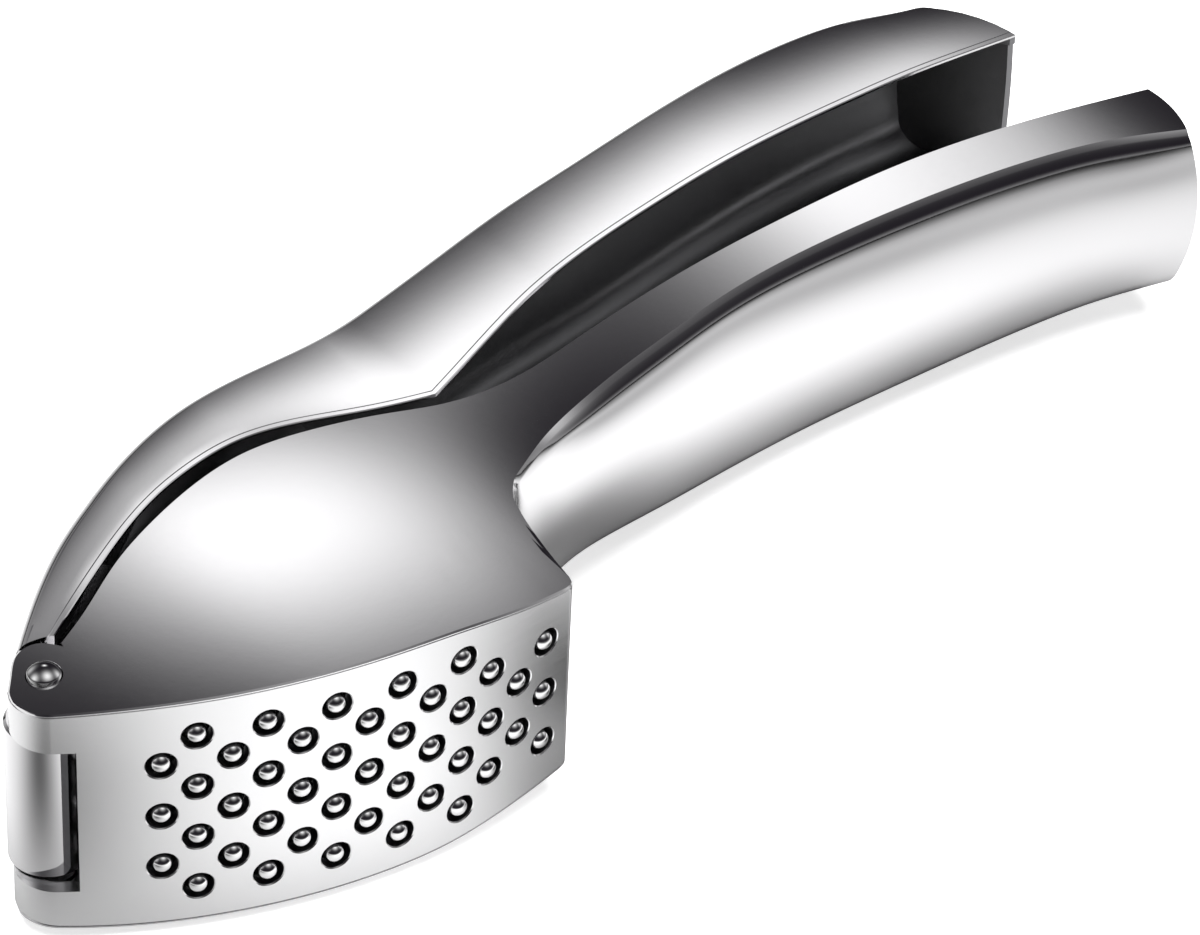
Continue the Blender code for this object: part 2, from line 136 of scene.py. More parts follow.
# Lever rows: rim x y, outer edge x y, half width, rounding beyond the outer edge
LEVER_ROWS = (
    (4.5, 5.1, 0.3, 5.8, 13.8, 0.2),
    (13.3, 10.9, 9.8, 14.6, 14.1, 0.8),
    (22.8, 16.6, 18.6, 20.6, 14.1, 1.6),
    (30.7, 19.6, 28.0, 25.3, 14.0, 2.4),
    (37.6, 20.9, 36.5, 28.2, 13.7, 3.0),
    (43.3, 20.6, 43.5, 29.4, 13.3, 3.4),
    (48.6, 19.6, 49.8, 30.2, 12.8, 3.5),
    (54.1, 18.6, 55.2, 31.2, 12.2, 3.5),
    (60.4, 17.6, 60.0, 32.3, 11.8, 3.5),
    (68.9, 21.7, 65.4, 33.8, 11.6, 3.5),
    (80.2, 26.5, 76.4, 36.7, 11.9, 3.5),
    (90.1, 29.2, 87.2, 39.4, 12.3, 3.5),
    (99.4, 31.0, 97.4, 41.4, 12.6, 3.5),
    (111.8, 33.1, 110.2, 44.1, 12.7, 3.5),
    (120.3, 34.1, 119.0, 46.0, 12.6, 3.3),
    (132.8, 35.2, 131.8, 48.1, 12.2, 2.8),
    (143.1, 36.0, 141.9, 48.9, 11.6, 2.0),
    (157.7, 36.6, 150.6, 48.6, 10.4, 0.6),
)
LEVER_CORNER_ROW = 8
LEVER_WALL = 1.5
NOSE_WALL = 1.6
END_WALL = 1.2
LEVER_LIP = 0.62
BARREL_RADIUS = 4.2
BARREL_HALF_LENGTH = 8.9
ROOT = (
    (9.0, 5.5), (19.0, 15.5), (17.0, 18.6), (9.5, 13.8), (4.2, 8.4), (2.0, 4.6), (2.0, 0.6), (3.0, -2.6),
)
ROOT_HALF_WIDTH = 8.85
CHEEK = (
    (17.0, 3.5), (46.5, 5.0), (48.0, 14.0), (50.0, 30.5), (37.0, 29.0), (28.0, 25.0), (18.5, 17.0),
)
CHEEK_SPAN = (4.0, 7.0)


# ---------------------------------------------------------------- curves and meshes

def spline(points, at):
    """A natural cubic spline through rows whose first column is the parameter."""
    points = np.array(points, float)
    t, y = points[:, 0], points[:, 1:]
    count = len(t)
    gap = np.diff(t)
    system = np.eye(count)
    right = np.zeros((count, y.shape[1]))
    for i in range(1, count - 1):
        system[i, i - 1 : i + 2] = gap[i - 1], 2 * (gap[i - 1] + gap[i]), gap[i]
        right[i] = 6 * ((y[i + 1] - y[i]) / gap[i] - (y[i] - y[i - 1]) / gap[i - 1])
    bend = np.linalg.solve(system, right)
    at = np.atleast_1d(np.asarray(at, float))
    k = np.clip(np.searchsorted(t, at) - 1, 0, count - 2)
    h = gap[k][:, None]
    a = (t[k + 1] - at)[:, None]
    b = (at - t[k])[:, None]
    return (
        (bend[k] * a**3 + bend[k + 1] * b**3) / (6 * h)
        + (y[k] / h - bend[k] * h / 6) * a
        + (y[k + 1] / h - bend[k + 1] * h / 6) * b
    )


def curve(points, at):
    """One value over a parameter, such as a width over X."""
    return spline(points, at)[:, 0]


def ramp(value, start, end):
    """Rises from 0 at start to 1 at end, and stays level outside them."""
    return min(1.0, max(0.0, (value - start) / (end - start)))


def face_point(angle):
    """The point of the press face at an angle, in degrees."""
    turn = math.radians(angle)
    return FACE_CENTRE + FACE_RADIUS * np.array((math.sin(turn), -math.cos(turn)))


def nose_centre():
    """The centre of the nose arc, which touches the press face where that starts."""
    join = math.radians(FACE_FIRST_ANGLE)
    return FACE_CENTRE + (FACE_RADIUS - NOSE_RADIUS) * np.array((math.sin(join), -math.cos(join)))


def sieve_line():
    """The sieve's outer line: round the nose, along the press face and round the heel."""
    centre = nose_centre()
    nose = []
    for turn in np.radians(np.linspace(NOSE_START_ANGLE, 270.0 + FACE_FIRST_ANGLE, 30)[:-1]):
        nose.append(centre + NOSE_RADIUS * np.array((math.cos(turn), math.sin(turn))))
    face = [face_point(a) for a in np.linspace(FACE_FIRST_ANGLE, FACE_LAST_ANGLE, 80)]
    turn = math.radians(FACE_LAST_ANGLE)
    centre = face[-1] + HEEL_RADIUS * np.array((-math.sin(turn), math.cos(turn)))
    heel = []
    for angle in np.radians(np.linspace(FACE_LAST_ANGLE, HEEL_LAST_ANGLE, 12)[1:]):
        heel.append(centre + HEEL_RADIUS * np.array((math.sin(angle), -math.cos(angle))))
    return np.vstack([nose, face, heel])


SIEVE_LINE = sieve_line()


def inward(line):
    """The unit normal at each point of a line, to its left."""
    along = np.gradient(line, axis=0)
    along /= np.linalg.norm(along, axis=1)[:, None]
    return np.stack([-along[:, 1], along[:, 0]], 1)


def strip_half_widths(gap):
    """Half the width of the sieve strip at each point of its line, less a gap to the body's side."""
    first, last = WIDTH_LOWER[0][0], LOWER_HEEL[0][0] + 0.05
    return curve(WIDTH_LOWER, np.clip(SIEVE_LINE[:, 0], first, last)) - gap


def mesh_object(name, points, faces):
    """A mesh object on the hinge axis, from points in millimetres."""
    mesh = bpy.data.meshes.new(name)
    mesh.from_pydata([tuple(Vector(p) * MM + HINGE) for p in points], [], faces)
    mesh.validate()
    work = bmesh.new()
    work.from_mesh(mesh)
    bmesh.ops.recalc_face_normals(work, faces=work.faces)
    work.to_mesh(mesh)
    work.free()
    made = bpy.data.objects.new(name, mesh)
    bpy.context.scene.collection.objects.link(made)
    return made


def loft(name, rings, inside=None):
    """A closed skin over rings of equally many points, capped. Faces in the inside span take slot 1."""
    count = len(rings[0])
    points = [p for ring in rings for p in ring]
    faces = []
    for r in range(len(rings) - 1):
        for i in range(count):
            j = (i + 1) % count
            faces.append((r * count + i, r * count + j, (r + 1) * count + j, (r + 1) * count + i))
    faces.append(tuple(range(count))[::-1])
    faces.append(tuple((len(rings) - 1) * count + i for i in range(count)))
    made = mesh_object(name, points, faces)
    if inside:
        for index in range(count * (len(rings) - 1)):
            if inside[0] <= index % count < inside[1]:
                made.data.polygons[index].material_index = 1
    return made


def prism(name, outline, low, high):
    """An outline across the pin, extruded along Z."""
    return loft(name, [[(x, y, z) for x, y in outline] for z in (low, high)])


def disc(centre, radius, segments):
    """The outline of a circle."""
    turns = np.arange(segments) * 2 * math.pi / segments
    return [(centre[0] + radius * math.cos(a), centre[1] + radius * math.sin(a)) for a in turns]


def lathe(name, profile, segments):
    """A profile of radius and height turned about the pin's axis. Radius 0 closes an end."""
    points, faces, rings = [], [], []
    for radius, height in profile:
        if radius == 0:
            rings.append([len(points)])
            points.append((0.0, 0.0, height))
            continue
        rings.append(list(range(len(points), len(points) + segments)))
        points += [(x, y, height) for x, y in disc((0.0, 0.0), radius, segments)]
    closed = list(zip(rings, rings[1:]))
    if profile[0][0] != 0 and profile[-1][0] != 0:
        closed.append((rings[-1], rings[0]))
    for first, second in closed:
        for i in range(segments):
            j = (i + 1) % segments
            if len(first) == 1:
                faces.append((first[0], second[i], second[j]))
            elif len(second) == 1:
                faces.append((first[i], first[j], second[0]))
            else:
                faces.append((first[i], first[j], second[j], second[i]))
    return mesh_object(name, points, faces)


def cut(target, *tools, solver="EXACT"):
    """Cuts the tools out of the target, one by one, and removes them."""
    for tool in tools:
        step = target.modifiers.new("Cut", "BOOLEAN")
        step.operation = "DIFFERENCE"
        step.solver = solver
        step.object = tool
        bake(target)
        bpy.data.objects.remove(tool, do_unlink=True)


def bake(target):
    """Applies the modifiers to the object's own mesh."""
    bpy.context.view_layer.update()
    graph = bpy.context.evaluated_depsgraph_get()
    made = bpy.data.meshes.new_from_object(target.evaluated_get(graph))
    target.modifiers.clear()
    target.data = made


def soften(target, width):
    """Rounds the sharp edges a little."""
    step = target.modifiers.new("Edges", "BEVEL")
    step.width = width * MM
    step.segments = 3
    step.limit_method = "ANGLE"
    step.angle_limit = math.radians(30.0)
    bake(target)


def join(name, *pieces):
    """One mesh of several."""
    work = bmesh.new()
    for piece in pieces:
        work.from_mesh(piece.data)
        bpy.data.objects.remove(piece, do_unlink=True)
    mesh = bpy.data.meshes.new(name)
    work.to_mesh(mesh)
    work.free()
    made = bpy.data.objects.new(name, mesh)
    bpy.context.scene.collection.objects.link(made)
    return made


def shade(target, angle=28.0):
    """Smooth shading, with sharp edges where the faces turn by more than the angle."""
    target.data.shade_smooth()
    target.data.set_sharp_from_angle(angle=math.radians(angle))


def finish_piece(target, body, finish, slot, *nodes):
    """Gives a piece its metal and its body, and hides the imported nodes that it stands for."""
    target.data.materials.append(finish)
    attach(target, body)
    if nodes:
        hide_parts(*nodes)


# ---------------------------------------------------------------- materials

def metal(name, colour, roughness, spread, grain, scratch, stretch=(1, 1, 1)):
    """Bare metal with faint cloudiness and fine polishing marks in roughness, colour and height."""
    made = bpy.data.materials.new(name)
    made.use_nodes = True
    nodes, links = made.node_tree.nodes, made.node_tree.links
    shader = nodes["Principled BSDF"]
    shader.inputs["Metallic"].default_value = 1.0
    shader.inputs["Specular IOR Level"].default_value = 0.5
    place = nodes.new("ShaderNodeTexCoord")
    size = nodes.new("ShaderNodeMapping")
    size.inputs["Scale"].default_value = stretch
    links.new(place.outputs["Object"], size.inputs["Vector"])

    cloud = nodes.new("ShaderNodeTexNoise")
    cloud.inputs["Scale"].default_value = 60.0
    cloud.inputs["Detail"].default_value = 3.0
    links.new(place.outputs["Object"], cloud.inputs["Vector"])
    marks = nodes.new("ShaderNodeTexNoise")
    marks.inputs["Scale"].default_value = grain
    marks.inputs["Detail"].default_value = 6.0
    marks.inputs["Roughness"].default_value = 0.7
    links.new(size.outputs["Vector"], marks.inputs["Vector"])

    tone = nodes.new("ShaderNodeMixRGB")
    tone.inputs[1].default_value = (*[c * 0.96 for c in colour], 1)
    tone.inputs[2].default_value = (*colour, 1)
    links.new(cloud.outputs["Fac"], tone.inputs[0])
    links.new(tone.outputs[0], shader.inputs["Base Color"])

    both = nodes.new("ShaderNodeMath")
    both.operation = "MULTIPLY"
    links.new(cloud.outputs["Fac"], both.inputs[0])
    links.new(marks.outputs["Fac"], both.inputs[1])
    rough = nodes.new("ShaderNodeMapRange")
    rough.inputs["From Min"].default_value = 0.1
    rough.inputs["From Max"].default_value = 0.45
    rough.inputs["To Min"].default_value = roughness - spread
    rough.inputs["To Max"].default_value = roughness + spread
    links.new(both.outputs[0], rough.inputs["Value"])
    links.new(rough.outputs["Result"], shader.inputs["Roughness"])

    bump = nodes.new("ShaderNodeBump")
    bump.inputs["Strength"].default_value = scratch
    bump.inputs["Distance"].default_value = 0.00002
    links.new(marks.outputs["Fac"], bump.inputs["Height"])
    links.new(bump.outputs["Normal"], shader.inputs["Normal"])
    return made


CHROME = metal("polished_chrome", (0.90, 0.895, 0.905), 0.07, 0.02, 900.0, 0.05)
SATIN = metal("satin_steel", (0.88, 0.88, 0.885), 0.24, 0.03, 2600.0, 0.12, (0.05, 0.05, 1.0))
# The lever's hollow: dull unpolished casting, its colour darkened further as painted shade for the shade
# inside the hollow
INSIDE_DULL_AND_PAINTED_SHADE = metal("cast_inside_dull_and_painted_shade", (0.27, 0.27, 0.28), 0.34, 0.06, 700.0, 0.3)
# Painted shade: a darker copy of the hollow's metal for the inner end wall of the lever
END_INSIDE_PAINTED_SHADE = metal("cast_inside_end_painted_shade", (0.20, 0.20, 0.205), 0.45, 0.06, 700.0, 0.3)
# Painted shade: a near-black metal for the walls of the sieve's holes and window, standing for the shade
# inside them
HOLE_WALL_PAINTED_SHADE = metal("hole_wall_painted_shade", (0.16, 0.16, 0.165), 0.35, 0.05, 900.0, 0.2)
STUD_CHROME = metal("plunger_chrome", (0.92, 0.92, 0.92), 0.06, 0.02, 900.0, 0.05)
PIN_STEEL = metal("pin_steel", (0.9, 0.9, 0.9), 0.08, 0.03, 1200.0, 0.1)
WASHER_STEEL = metal("washer_steel", (0.6, 0.6, 0.61), 0.3, 0.05, 1500.0, 0.3)


# ---------------------------------------------------------------- body

def lower_edge(x):
    """The body's lower edge over X: nose circle and press face, then the heel and the handle."""
    if x <= LOWER_HEEL[0][0]:
        line = SIEVE_LINE[np.argmin(SIEVE_LINE[:, 0]) :]
        return float(np.interp(x, line[:, 0], line[:, 1]))
    if x <= LOWER_HEEL[-1][0]:
        return float(curve(LOWER_HEEL, x)[0])
    return float(curve(LOWER_HANDLE, x)[0])


def rim_edge(x):
    """The body's upper edge over X: the round ear about the pin, then the rim."""
    if x < EAR[0][0]:
        centre = nose_centre()
        return centre[1] + math.sqrt(max(NOSE_RADIUS**2 - (x - centre[0]) ** 2, 0.0))
    if x < EAR[-1][0]:
        return float(curve(EAR, x)[0])
    return float(curve(RIM, x)[0])


def body_stations():
    """Where along X the body's cross-sections lie: closest where its outline turns fastest."""
    nose = nose_centre()[0] - NOSE_RADIUS * np.cos(np.radians(np.linspace(6, 90, 26)))
    ear = np.linspace(nose[-1], EAR[-1][0] - 0.05, 16)[1:]
    head = np.linspace(EAR[-1][0] + 0.05, 52.6, 76)
    heel = np.linspace(52.7, 56.8, 26)
    handle = np.concatenate([np.linspace(56.9, 61.0, 20), np.linspace(61.5, 160.6, 128)])
    return np.concatenate([nose, ear, head, heel, handle])


def section(x):
    """A cross-section's lower and upper point, its height and the way up it. Sections lean near the end."""
    top_x = x + 2.0 * max(0.0, (x - 140.0) / 20.6) ** 2
    low = np.array((x, lower_edge(x)))
    high = np.array((top_x, rim_edge(top_x)))
    height = np.linalg.norm(high - low)
    return low, high, height, (high - low) / height


def body_ring(x):
    """One closed cross-section, from the middle of the lower face round both sides."""
    low, high, height, across = section(x)
    near, far = curve(WIDTH_LOWER, x)[0], curve(WIDTH_RIM, x)[0]
    swell = curve(SWELL, x)[0] * min(1.0, height / 12.0)
    bulge = max(0.0, curve(BULGE, x)[0]) if x > BULGE[0][0] else 0.0
    handle = ramp(x, HANDLE_START, HANDLE_START + 6.0)
    bevel = min(0.18 + 0.32 * handle, 0.2 * height)
    rim = min(0.4, 0.2 * height)
    side = []
    for u in (0.0, 0.2, 0.4, 0.55, 0.7, 0.8, 0.87, 0.91, 0.94, 0.97, 0.985, 1.0):
        turn_in = 0.12 * bulge * (1 - ramp(u, 0.87, 1.0) ** 2)
        side.append((u * (near - bevel), -bulge * (1 - u * u) - turn_in))
    side.append((near, bevel))
    for v in np.linspace(0, 1, 15)[1:-1]:
        d = bevel + v * (height - rim - bevel)
        side.append((near * (1 - v) + far * v + 4 * swell * v * (1 - v), d))
    side += [(far, height - rim), (far - rim, height)]
    side += [(share * far, height) for share in (0.6, 0.3, 0.0)]
    bow = 1.3 * max(0.0, (x - 150.0) / 10.6) ** 2
    half = []
    for z, d in side:
        f = ramp(d, 0.0, height)
        push = bow * (1 - (z / near) ** 2) + bow * 4 * f * (1 - f) * 0.6
        point = low + across * d
        half.append((point[0] + push, point[1], z))
    return half + [(a, b, -z) for a, b, z in half[-2:0:-1]]


def make_body():
    """The lower casting: head and handle, less the sieve's seat, the chamber, the trough and the bore."""
    made = loft("press_body_shell", [body_ring(x) for x in body_stations()])
    rings = []
    for point, normal, half in zip(SIEVE_LINE, inward(SIEVE_LINE), strip_half_widths(SKIRT)):
        outer, inner = point - 3.0 * normal, point + (SIEVE_THICKNESS + 0.06) * normal
        rings.append([(*outer, -half), (*outer, half), (*inner, half), (*inner, -half)])
    seat = loft("seat", rings)
    chamber = prism("chamber", disc((0, 0), CHAMBER_RADIUS, 160), -CHAMBER_HALF_WIDTH, CHAMBER_HALF_WIDTH)
    bore = prism("bore", disc((0, 0), PIN_BORE, 48), -20, 20)
    cut(made, seat, chamber, body_trough(), bore)
    shade(made)
    side_normals(made, body_tilt)
    finish_piece(made, BODY, CHROME, "polished_chrome", "press_body")


# How far the body's flat sides lean along X, in degrees: a slow wave from the crown of the head to the end
SIDE_LEAN = (
    (-5.0, -5.9), (0.0, -5.6), (8.0, -4.1), (16.0, -2.6), (24.0, -0.9), (31.0, 0.1), (40.0, 1.0),
    (48.0, 2.1), (56.0, 3.4), (60.0, 4.2), (66.0, 5.3), (73.0, 5.7), (79.0, 5.2), (87.0, 3.8),
    (97.0, 1.4), (110.0, -1.9), (120.0, -4.0), (128.0, -3.8), (143.0, -2.7), (152.0, -0.9), (160.0, 1.6),
    (165.0, 3.0),
)
CROWN = (28.0, 6.0)
FLAT = 0.93


def body_tilt(x, y):
    """How far a side wall leans along X and Y at a point, in degrees."""
    along = curve(SIDE_LEAN, x)[0]
    head = 1.0 - ramp(x, 50.0, 64.0)
    across = 0.13 * (y - CROWN[1]) * head + 0.4 * (1 - head)
    neck = math.exp(-(((x - 70.0) / 14.0) ** 2))
    along -= 1.5 * neck * ((y - 11.0) / 8.0)
    return along, across


def side_normals(target, tilt):
    """Shades the two flat sides as one smooth, slightly crowned surface each."""
    mesh = target.data
    normals = []
    for polygon in mesh.polygons:
        height = (polygon.center - HINGE).z / MM
        flat = abs(polygon.normal.z) > FLAT and polygon.normal.z * height > 0
        for index in polygon.loop_indices:
            if not flat:
                normals.append(Vector(mesh.corner_normals[index].vector))
                continue
            place = (mesh.vertices[mesh.loops[index].vertex_index].co - HINGE) / MM
            along, across = tilt(place.x, place.y)
            lean = Vector((math.radians(along), math.radians(across), math.copysign(1.0, height)))
            normals.append(lean.normalized())
    mesh.normals_split_custom_set(normals)


def body_trough():
    """The hollow of the handle, open towards the lever."""
    rings = []
    for x in np.linspace(*TROUGH_ENDS, 60):
        end = min(1.0, 0.25 + (x - TROUGH_ENDS[0]) / 6.0)
        low, high, height, across = section(x)
        half = (curve(WIDTH_LOWER, x)[0] - TROUGH_WALL) * (0.7 + 0.3 * end)
        rise = height * (1 - end) * 0.8
        ring = [(*(high + 2.0 * across), half), (*(high + 2.0 * across), -half)]
        for u in np.linspace(-1, 1, 15):
            depth = curve(BULGE, x)[0] * (1 - u * u) - TROUGH_FLOOR - 0.9 * u**4 - rise
            ring.append((*(low - across * depth), u * half))
        rings.append(ring)
    return loft("trough", rings)


# ---------------------------------------------------------------- sieve, plunger and hinge

def hole_places():
    """Each hole's point on the press face: columns of 3 and 4 in turn, and one of 2."""
    places = []
    for column in range(HOLE_COLUMNS):
        x, y = face_point(FIRST_COLUMN_ANGLE + math.degrees(column * HOLE_PITCH / FACE_RADIUS))
        if column % 2 == 0:
            across = (-2, 0, 2)
        elif column == SHORT_COLUMN:
            across = (-1, 1)
        else:
            across = (-3, -1, 1, 3)
        places += [(x, y, step * HOLE_STEP_ACROSS) for step in across]
    return places


def at_holes(name, profile, segments):
    """A turned shape at every hole, square to the press face, its height measured outwards."""
    template = lathe(name, profile, segments)
    base = [(v.co - HINGE) / MM for v in template.data.vertices]
    faces = [tuple(p.vertices) for p in template.data.polygons]
    bpy.data.objects.remove(template, do_unlink=True)
    points, all_faces = [], []
    for x, y, z in hole_places():
        start = len(points)
        out_x, out_y = (np.array((x, y)) - FACE_CENTRE) / FACE_RADIUS
        for across, up, along in base:
            points.append((x + along * out_x - across * out_y, y + along * out_y + across * out_x, z + up))
        all_faces += [tuple(start + i for i in face) for face in faces]
    return mesh_object(name, points, all_faces)


def sieve_strip():
    """The bare strip, with its long edges chamfered."""
    rings = []
    for point, normal, half in zip(SIEVE_LINE, inward(SIEVE_LINE), strip_half_widths(SKIRT + 0.02)):
        inner = point + SIEVE_THICKNESS * normal
        across = [(SIEVE_EDGE, half), (0.0, half - SIEVE_EDGE)]
        outer = [(*(point + d * normal), z) for d, z in across]
        ring = outer + [(x, y, -z) for x, y, z in reversed(outer)]
        rings.append(ring + [(*inner, -half), (*inner, half)])
    return loft("sieve_strip", rings)


def sieve_window():
    """The cutter of the window in the nose: all that is ahead of one slanted edge."""
    corner = np.array(WINDOW_CORNER)
    turn = math.radians(WINDOW_TURN)
    reach = 8.0 * np.array((math.cos(turn), math.sin(turn)))
    below, above = corner - reach, corner + reach
    outline = (tuple(below), tuple(above), (above[0], 9.0), (-12.0, 9.0), (-12.0, below[1]))
    return prism("window", outline, -WINDOW_HALF_HEIGHT, WINDOW_HALF_HEIGHT)


def make_sieve():
    """The perforated strip over the press face and round the nose. The exact solver leaves gaps in it."""
    made = sieve_strip()
    mouth = HOLE_RADIUS + HOLE_EDGE
    bore = ((0, -4.0), (HOLE_RADIUS, -4.0), (HOLE_RADIUS, -HOLE_EDGE), (mouth, 0.0), (mouth, 1.0), (0, 1.0))
    cut(made, sieve_window(), at_holes("holes", bore, 40), solver="MANIFOLD")
    made.data.materials.clear()
    shade(made, 30.0)
    press_face_normals(made)
    finish_piece(made, BODY, SATIN, "satin_steel", "sieve_insert")
    # Slot 1: painted shade on the walls of the holes and the window
    made.data.materials.append(HOLE_WALL_PAINTED_SHADE)
    paint_shade_on_cut_walls(made)


def paint_shade_on_cut_walls(target):
    """Gives slot 1, a dark painted shade, to the walls of the holes and the window, which lie between the
    sieve's two faces.
    """
    for polygon in target.data.polygons:
        x, y, z = (polygon.center - HINGE) / MM
        inset = FACE_RADIUS - math.hypot(x - FACE_CENTRE[0], y - FACE_CENTRE[1])
        within = SIEVE_EDGE < inset < SIEVE_THICKNESS - SIEVE_EDGE
        if within and x > -1.8 and abs(z) < 11.8:
            polygon.material_index = 1


def press_face_normals(target):
    """Gives the faces of the press face the true normals of its arc, so that it shades as one sheet."""
    mesh = target.data
    centre = Vector((*FACE_CENTRE, 0.0)) * MM + HINGE
    normals = []
    for polygon in mesh.polygons:
        for index in polygon.loop_indices:
            corner = mesh.loops[index]
            away = mesh.vertices[corner.vertex_index].co - centre
            away.z = 0.0
            own = Vector(mesh.corner_normals[index].vector)
            on_arc = abs(away.length - FACE_RADIUS * MM) < 0.02 * MM
            on_face = on_arc and polygon.normal.dot(away.normalized()) > 0.995
            normals.append(away.normalized() if on_face else own)
    mesh.normals_split_custom_set(normals)


def dome(radius, rise, top, steps):
    """Radius and height from the top of a dome down to its edge."""
    ball = (radius**2 + rise**2) / (2 * rise)
    widest = math.asin(radius / ball) if rise < radius else math.pi / 2
    turns = np.linspace(0, widest, steps)
    return [(ball * math.sin(a), top - ball + ball * math.cos(a)) for a in turns]


def dowel_holes():
    """Cutters for the two dowels that hold the plunger in the lever."""
    return [prism("dowel_hole", disc(centre, DOWEL_BORE, 32), -9, 9) for centre in DOWELS]


def make_plunger():
    """The plunger: a curved plate on a tongue, and a stud for each hole of the sieve."""
    near, far = [SIEVE_THICKNESS + inset for inset in PLATE_INSET]
    wide = PLATE_HALF_WIDTH
    line = np.array([face_point(a) for a in np.linspace(*PLATE_ANGLES, 40)])
    rings = []
    for point, normal in zip(line, inward(line)):
        outer, inner = point + near * normal, point + far * normal
        rings.append([(*outer, -wide), (*outer, wide), (*inner, wide), (*inner, -wide)])
    plate = loft("plate", rings)
    soften(plate, 0.5)
    post = prism("post", TONGUE, -TONGUE_HALF_WIDTH, TONGUE_HALF_WIDTH)
    cut(post, *dowel_holes())
    soften(post, 0.4)
    tip = dome(STUD_RADIUS, STUD_RADIUS * 0.92, STUD_PROUD, 9)
    studs = at_holes("studs", tip + [(STUD_RADIUS, -STUD_ROOT), (0, -STUD_ROOT)], 28)
    made = join("plunger_with_studs", plate, post, studs)
    shade(made, 40.0)
    finish_piece(made, LEVER, STUD_CHROME, "plunger_chrome", "plunger")


def make_hinge_pin():
    """The hinge pin, domed at both ends."""
    top = dome(PIN_RADIUS, PIN_DOME, PIN_HALF_LENGTH, 10)
    profile = top + [(r, -z) for r, z in reversed(top)]
    made = lathe("hinge_pin_smooth", profile, 64)
    shade(made, 50.0)
    finish_piece(made, BODY, PIN_STEEL, "pin_steel", "hinge_pin")


# ---------------------------------------------------------------- lever

def lever_rows():
    """The lever's sections along its length, smooth except for the rim's one corner."""
    rows = np.array(LEVER_ROWS)
    middle = (rows[:, 0:2] + rows[:, 2:4]) / 2
    reach = np.concatenate([[0], np.cumsum(np.linalg.norm(np.diff(middle, axis=0), axis=1))])
    corner = LEVER_CORNER_ROW
    first = np.linspace(0, reach[corner], 70)
    second = np.linspace(reach[corner], reach[-1], 150)[1:]
    at = np.concatenate([first, second])
    rest = spline(np.column_stack([reach, rows[:, 2:]]), at)
    rim_first = spline(np.column_stack([reach[: corner + 1], rows[: corner + 1, :2]]), first)
    rim_second = spline(np.column_stack([reach[corner:], rows[corner:, :2]]), second)
    return at, np.column_stack([np.vstack([rim_first, rim_second]), rest])


def lever_ring(row, hollow, bow):
    """One closed U of the lever: outer skin, rim lips and the hollow between them."""
    rim, edge, half, beyond = row[0:2], row[2:4], row[4], row[5]
    out = (edge - rim) / np.linalg.norm(edge - rim)
    depth = np.linalg.norm(edge - rim) + beyond * 0.78
    radius = min(3.2, 0.45 * depth)
    lip = LEVER_LIP
    outer = [(half - 0.16, 0.0), (half - 0.06, 0.1), (half - 0.06, lip), (half, lip + 0.1)]
    swell = min(0.25, 0.012 * depth)
    for v in (0.2, 0.4, 0.6, 0.8, 1.0):
        outer.append((half + swell * 4 * v * (1 - v), lip + 0.1 + v * (depth - radius - lip - 0.1)))
    for turn in np.radians(np.linspace(0, 90, 12)[1:]):
        outer.append((half - radius * (1 - math.cos(turn)), depth - radius * (1 - math.sin(turn))))
    for u in (0.75, 0.5, 0.25, 0.0):
        outer.append((u * (half - radius), depth + 0.6 * (1 - u * u)))
    inner_depth = (depth - LEVER_WALL) * hollow
    inner_half = half - LEVER_WALL
    inner_radius = (radius + 1.0) * hollow
    chamfer = 1.5 * hollow
    inner = [(half - 0.42, 0.0), (half - 0.6, 0.25 * hollow), (inner_half, chamfer)]
    for v in (0.33, 0.66, 1.0):
        inner.append((inner_half, chamfer + v * (inner_depth - inner_radius - chamfer)))
    for turn in np.radians(np.linspace(0, 90, 8)[1:]):
        away, short = inner_radius * (1 - math.cos(turn)), inner_radius * (1 - math.sin(turn))
        inner.append((inner_half - away, inner_depth - short))
    for u in (0.66, 0.33, 0.0):
        inner.append((u * (inner_half - inner_radius), inner_depth + 0.5 * (1 - u * u) * hollow))
    forward = np.array((out[1], -out[0]))

    def place(z, d):
        f = ramp(d, 0.0, depth)
        push = bow * (4 * f * (1 - f) + 0.8 * (1 - (z / half) ** 2))
        point = rim + out * d + forward * push
        return (point[0], point[1], z)

    right = [place(z, d) for z, d in outer]
    right_inner = [place(z, d) for z, d in inner]
    left = [place(-z, d) for z, d in outer[:-1]]
    left_inner = [place(-z, d) for z, d in inner[:-1]]
    skin = right + left[::-1]
    hollow_side = left_inner + right_inner[::-1]
    return skin + hollow_side, (len(skin), len(skin) + len(hollow_side) - 1)


# How far the lever's flat sides lean along X, in degrees
LEVER_LEAN = (
    (-3.0, -4.0), (13.0, -3.7), (23.0, -3.5), (31.0, -3.6), (38.0, -3.5), (43.0, -3.4), (49.0, -2.8),
    (54.0, -2.1), (60.0, -1.7), (69.0, -2.0), (80.0, -2.5), (90.0, -3.0), (99.0, -3.5), (112.0, -3.7),
    (120.0, -3.2), (133.0, -3.2), (143.0, -3.1), (152.0, -2.0), (160.0, -0.5),
)
RIM_HEIGHTS = [(row[0], row[1]) for row in LEVER_ROWS]


def lever_tilt(x, y):
    """How far the lever's side leans along X and Y at a point, in degrees."""
    rise = y - float(np.interp(x, *zip(*RIM_HEIGHTS)))
    lid, arm, end = ramp(x, 56.0, 31.0), ramp(x, 56.0, 82.0), ramp(x, 120.0, 145.0)
    across = 0.5 * lid + 2.5 * arm - 0.043 * (y - CROWN[1])
    across += (0.40 + 0.45 * lid + 0.15 * end) * max(0.0, rise - 0.5)
    along = curve(LEVER_LEAN, x)[0]
    lip_shine = ramp(rise, 1.8, 0.8) * ramp(x, 7.0, 12.0) * ramp(x, 40.0, 32.0)
    return along * (1.0 - 0.5 * lip_shine), across


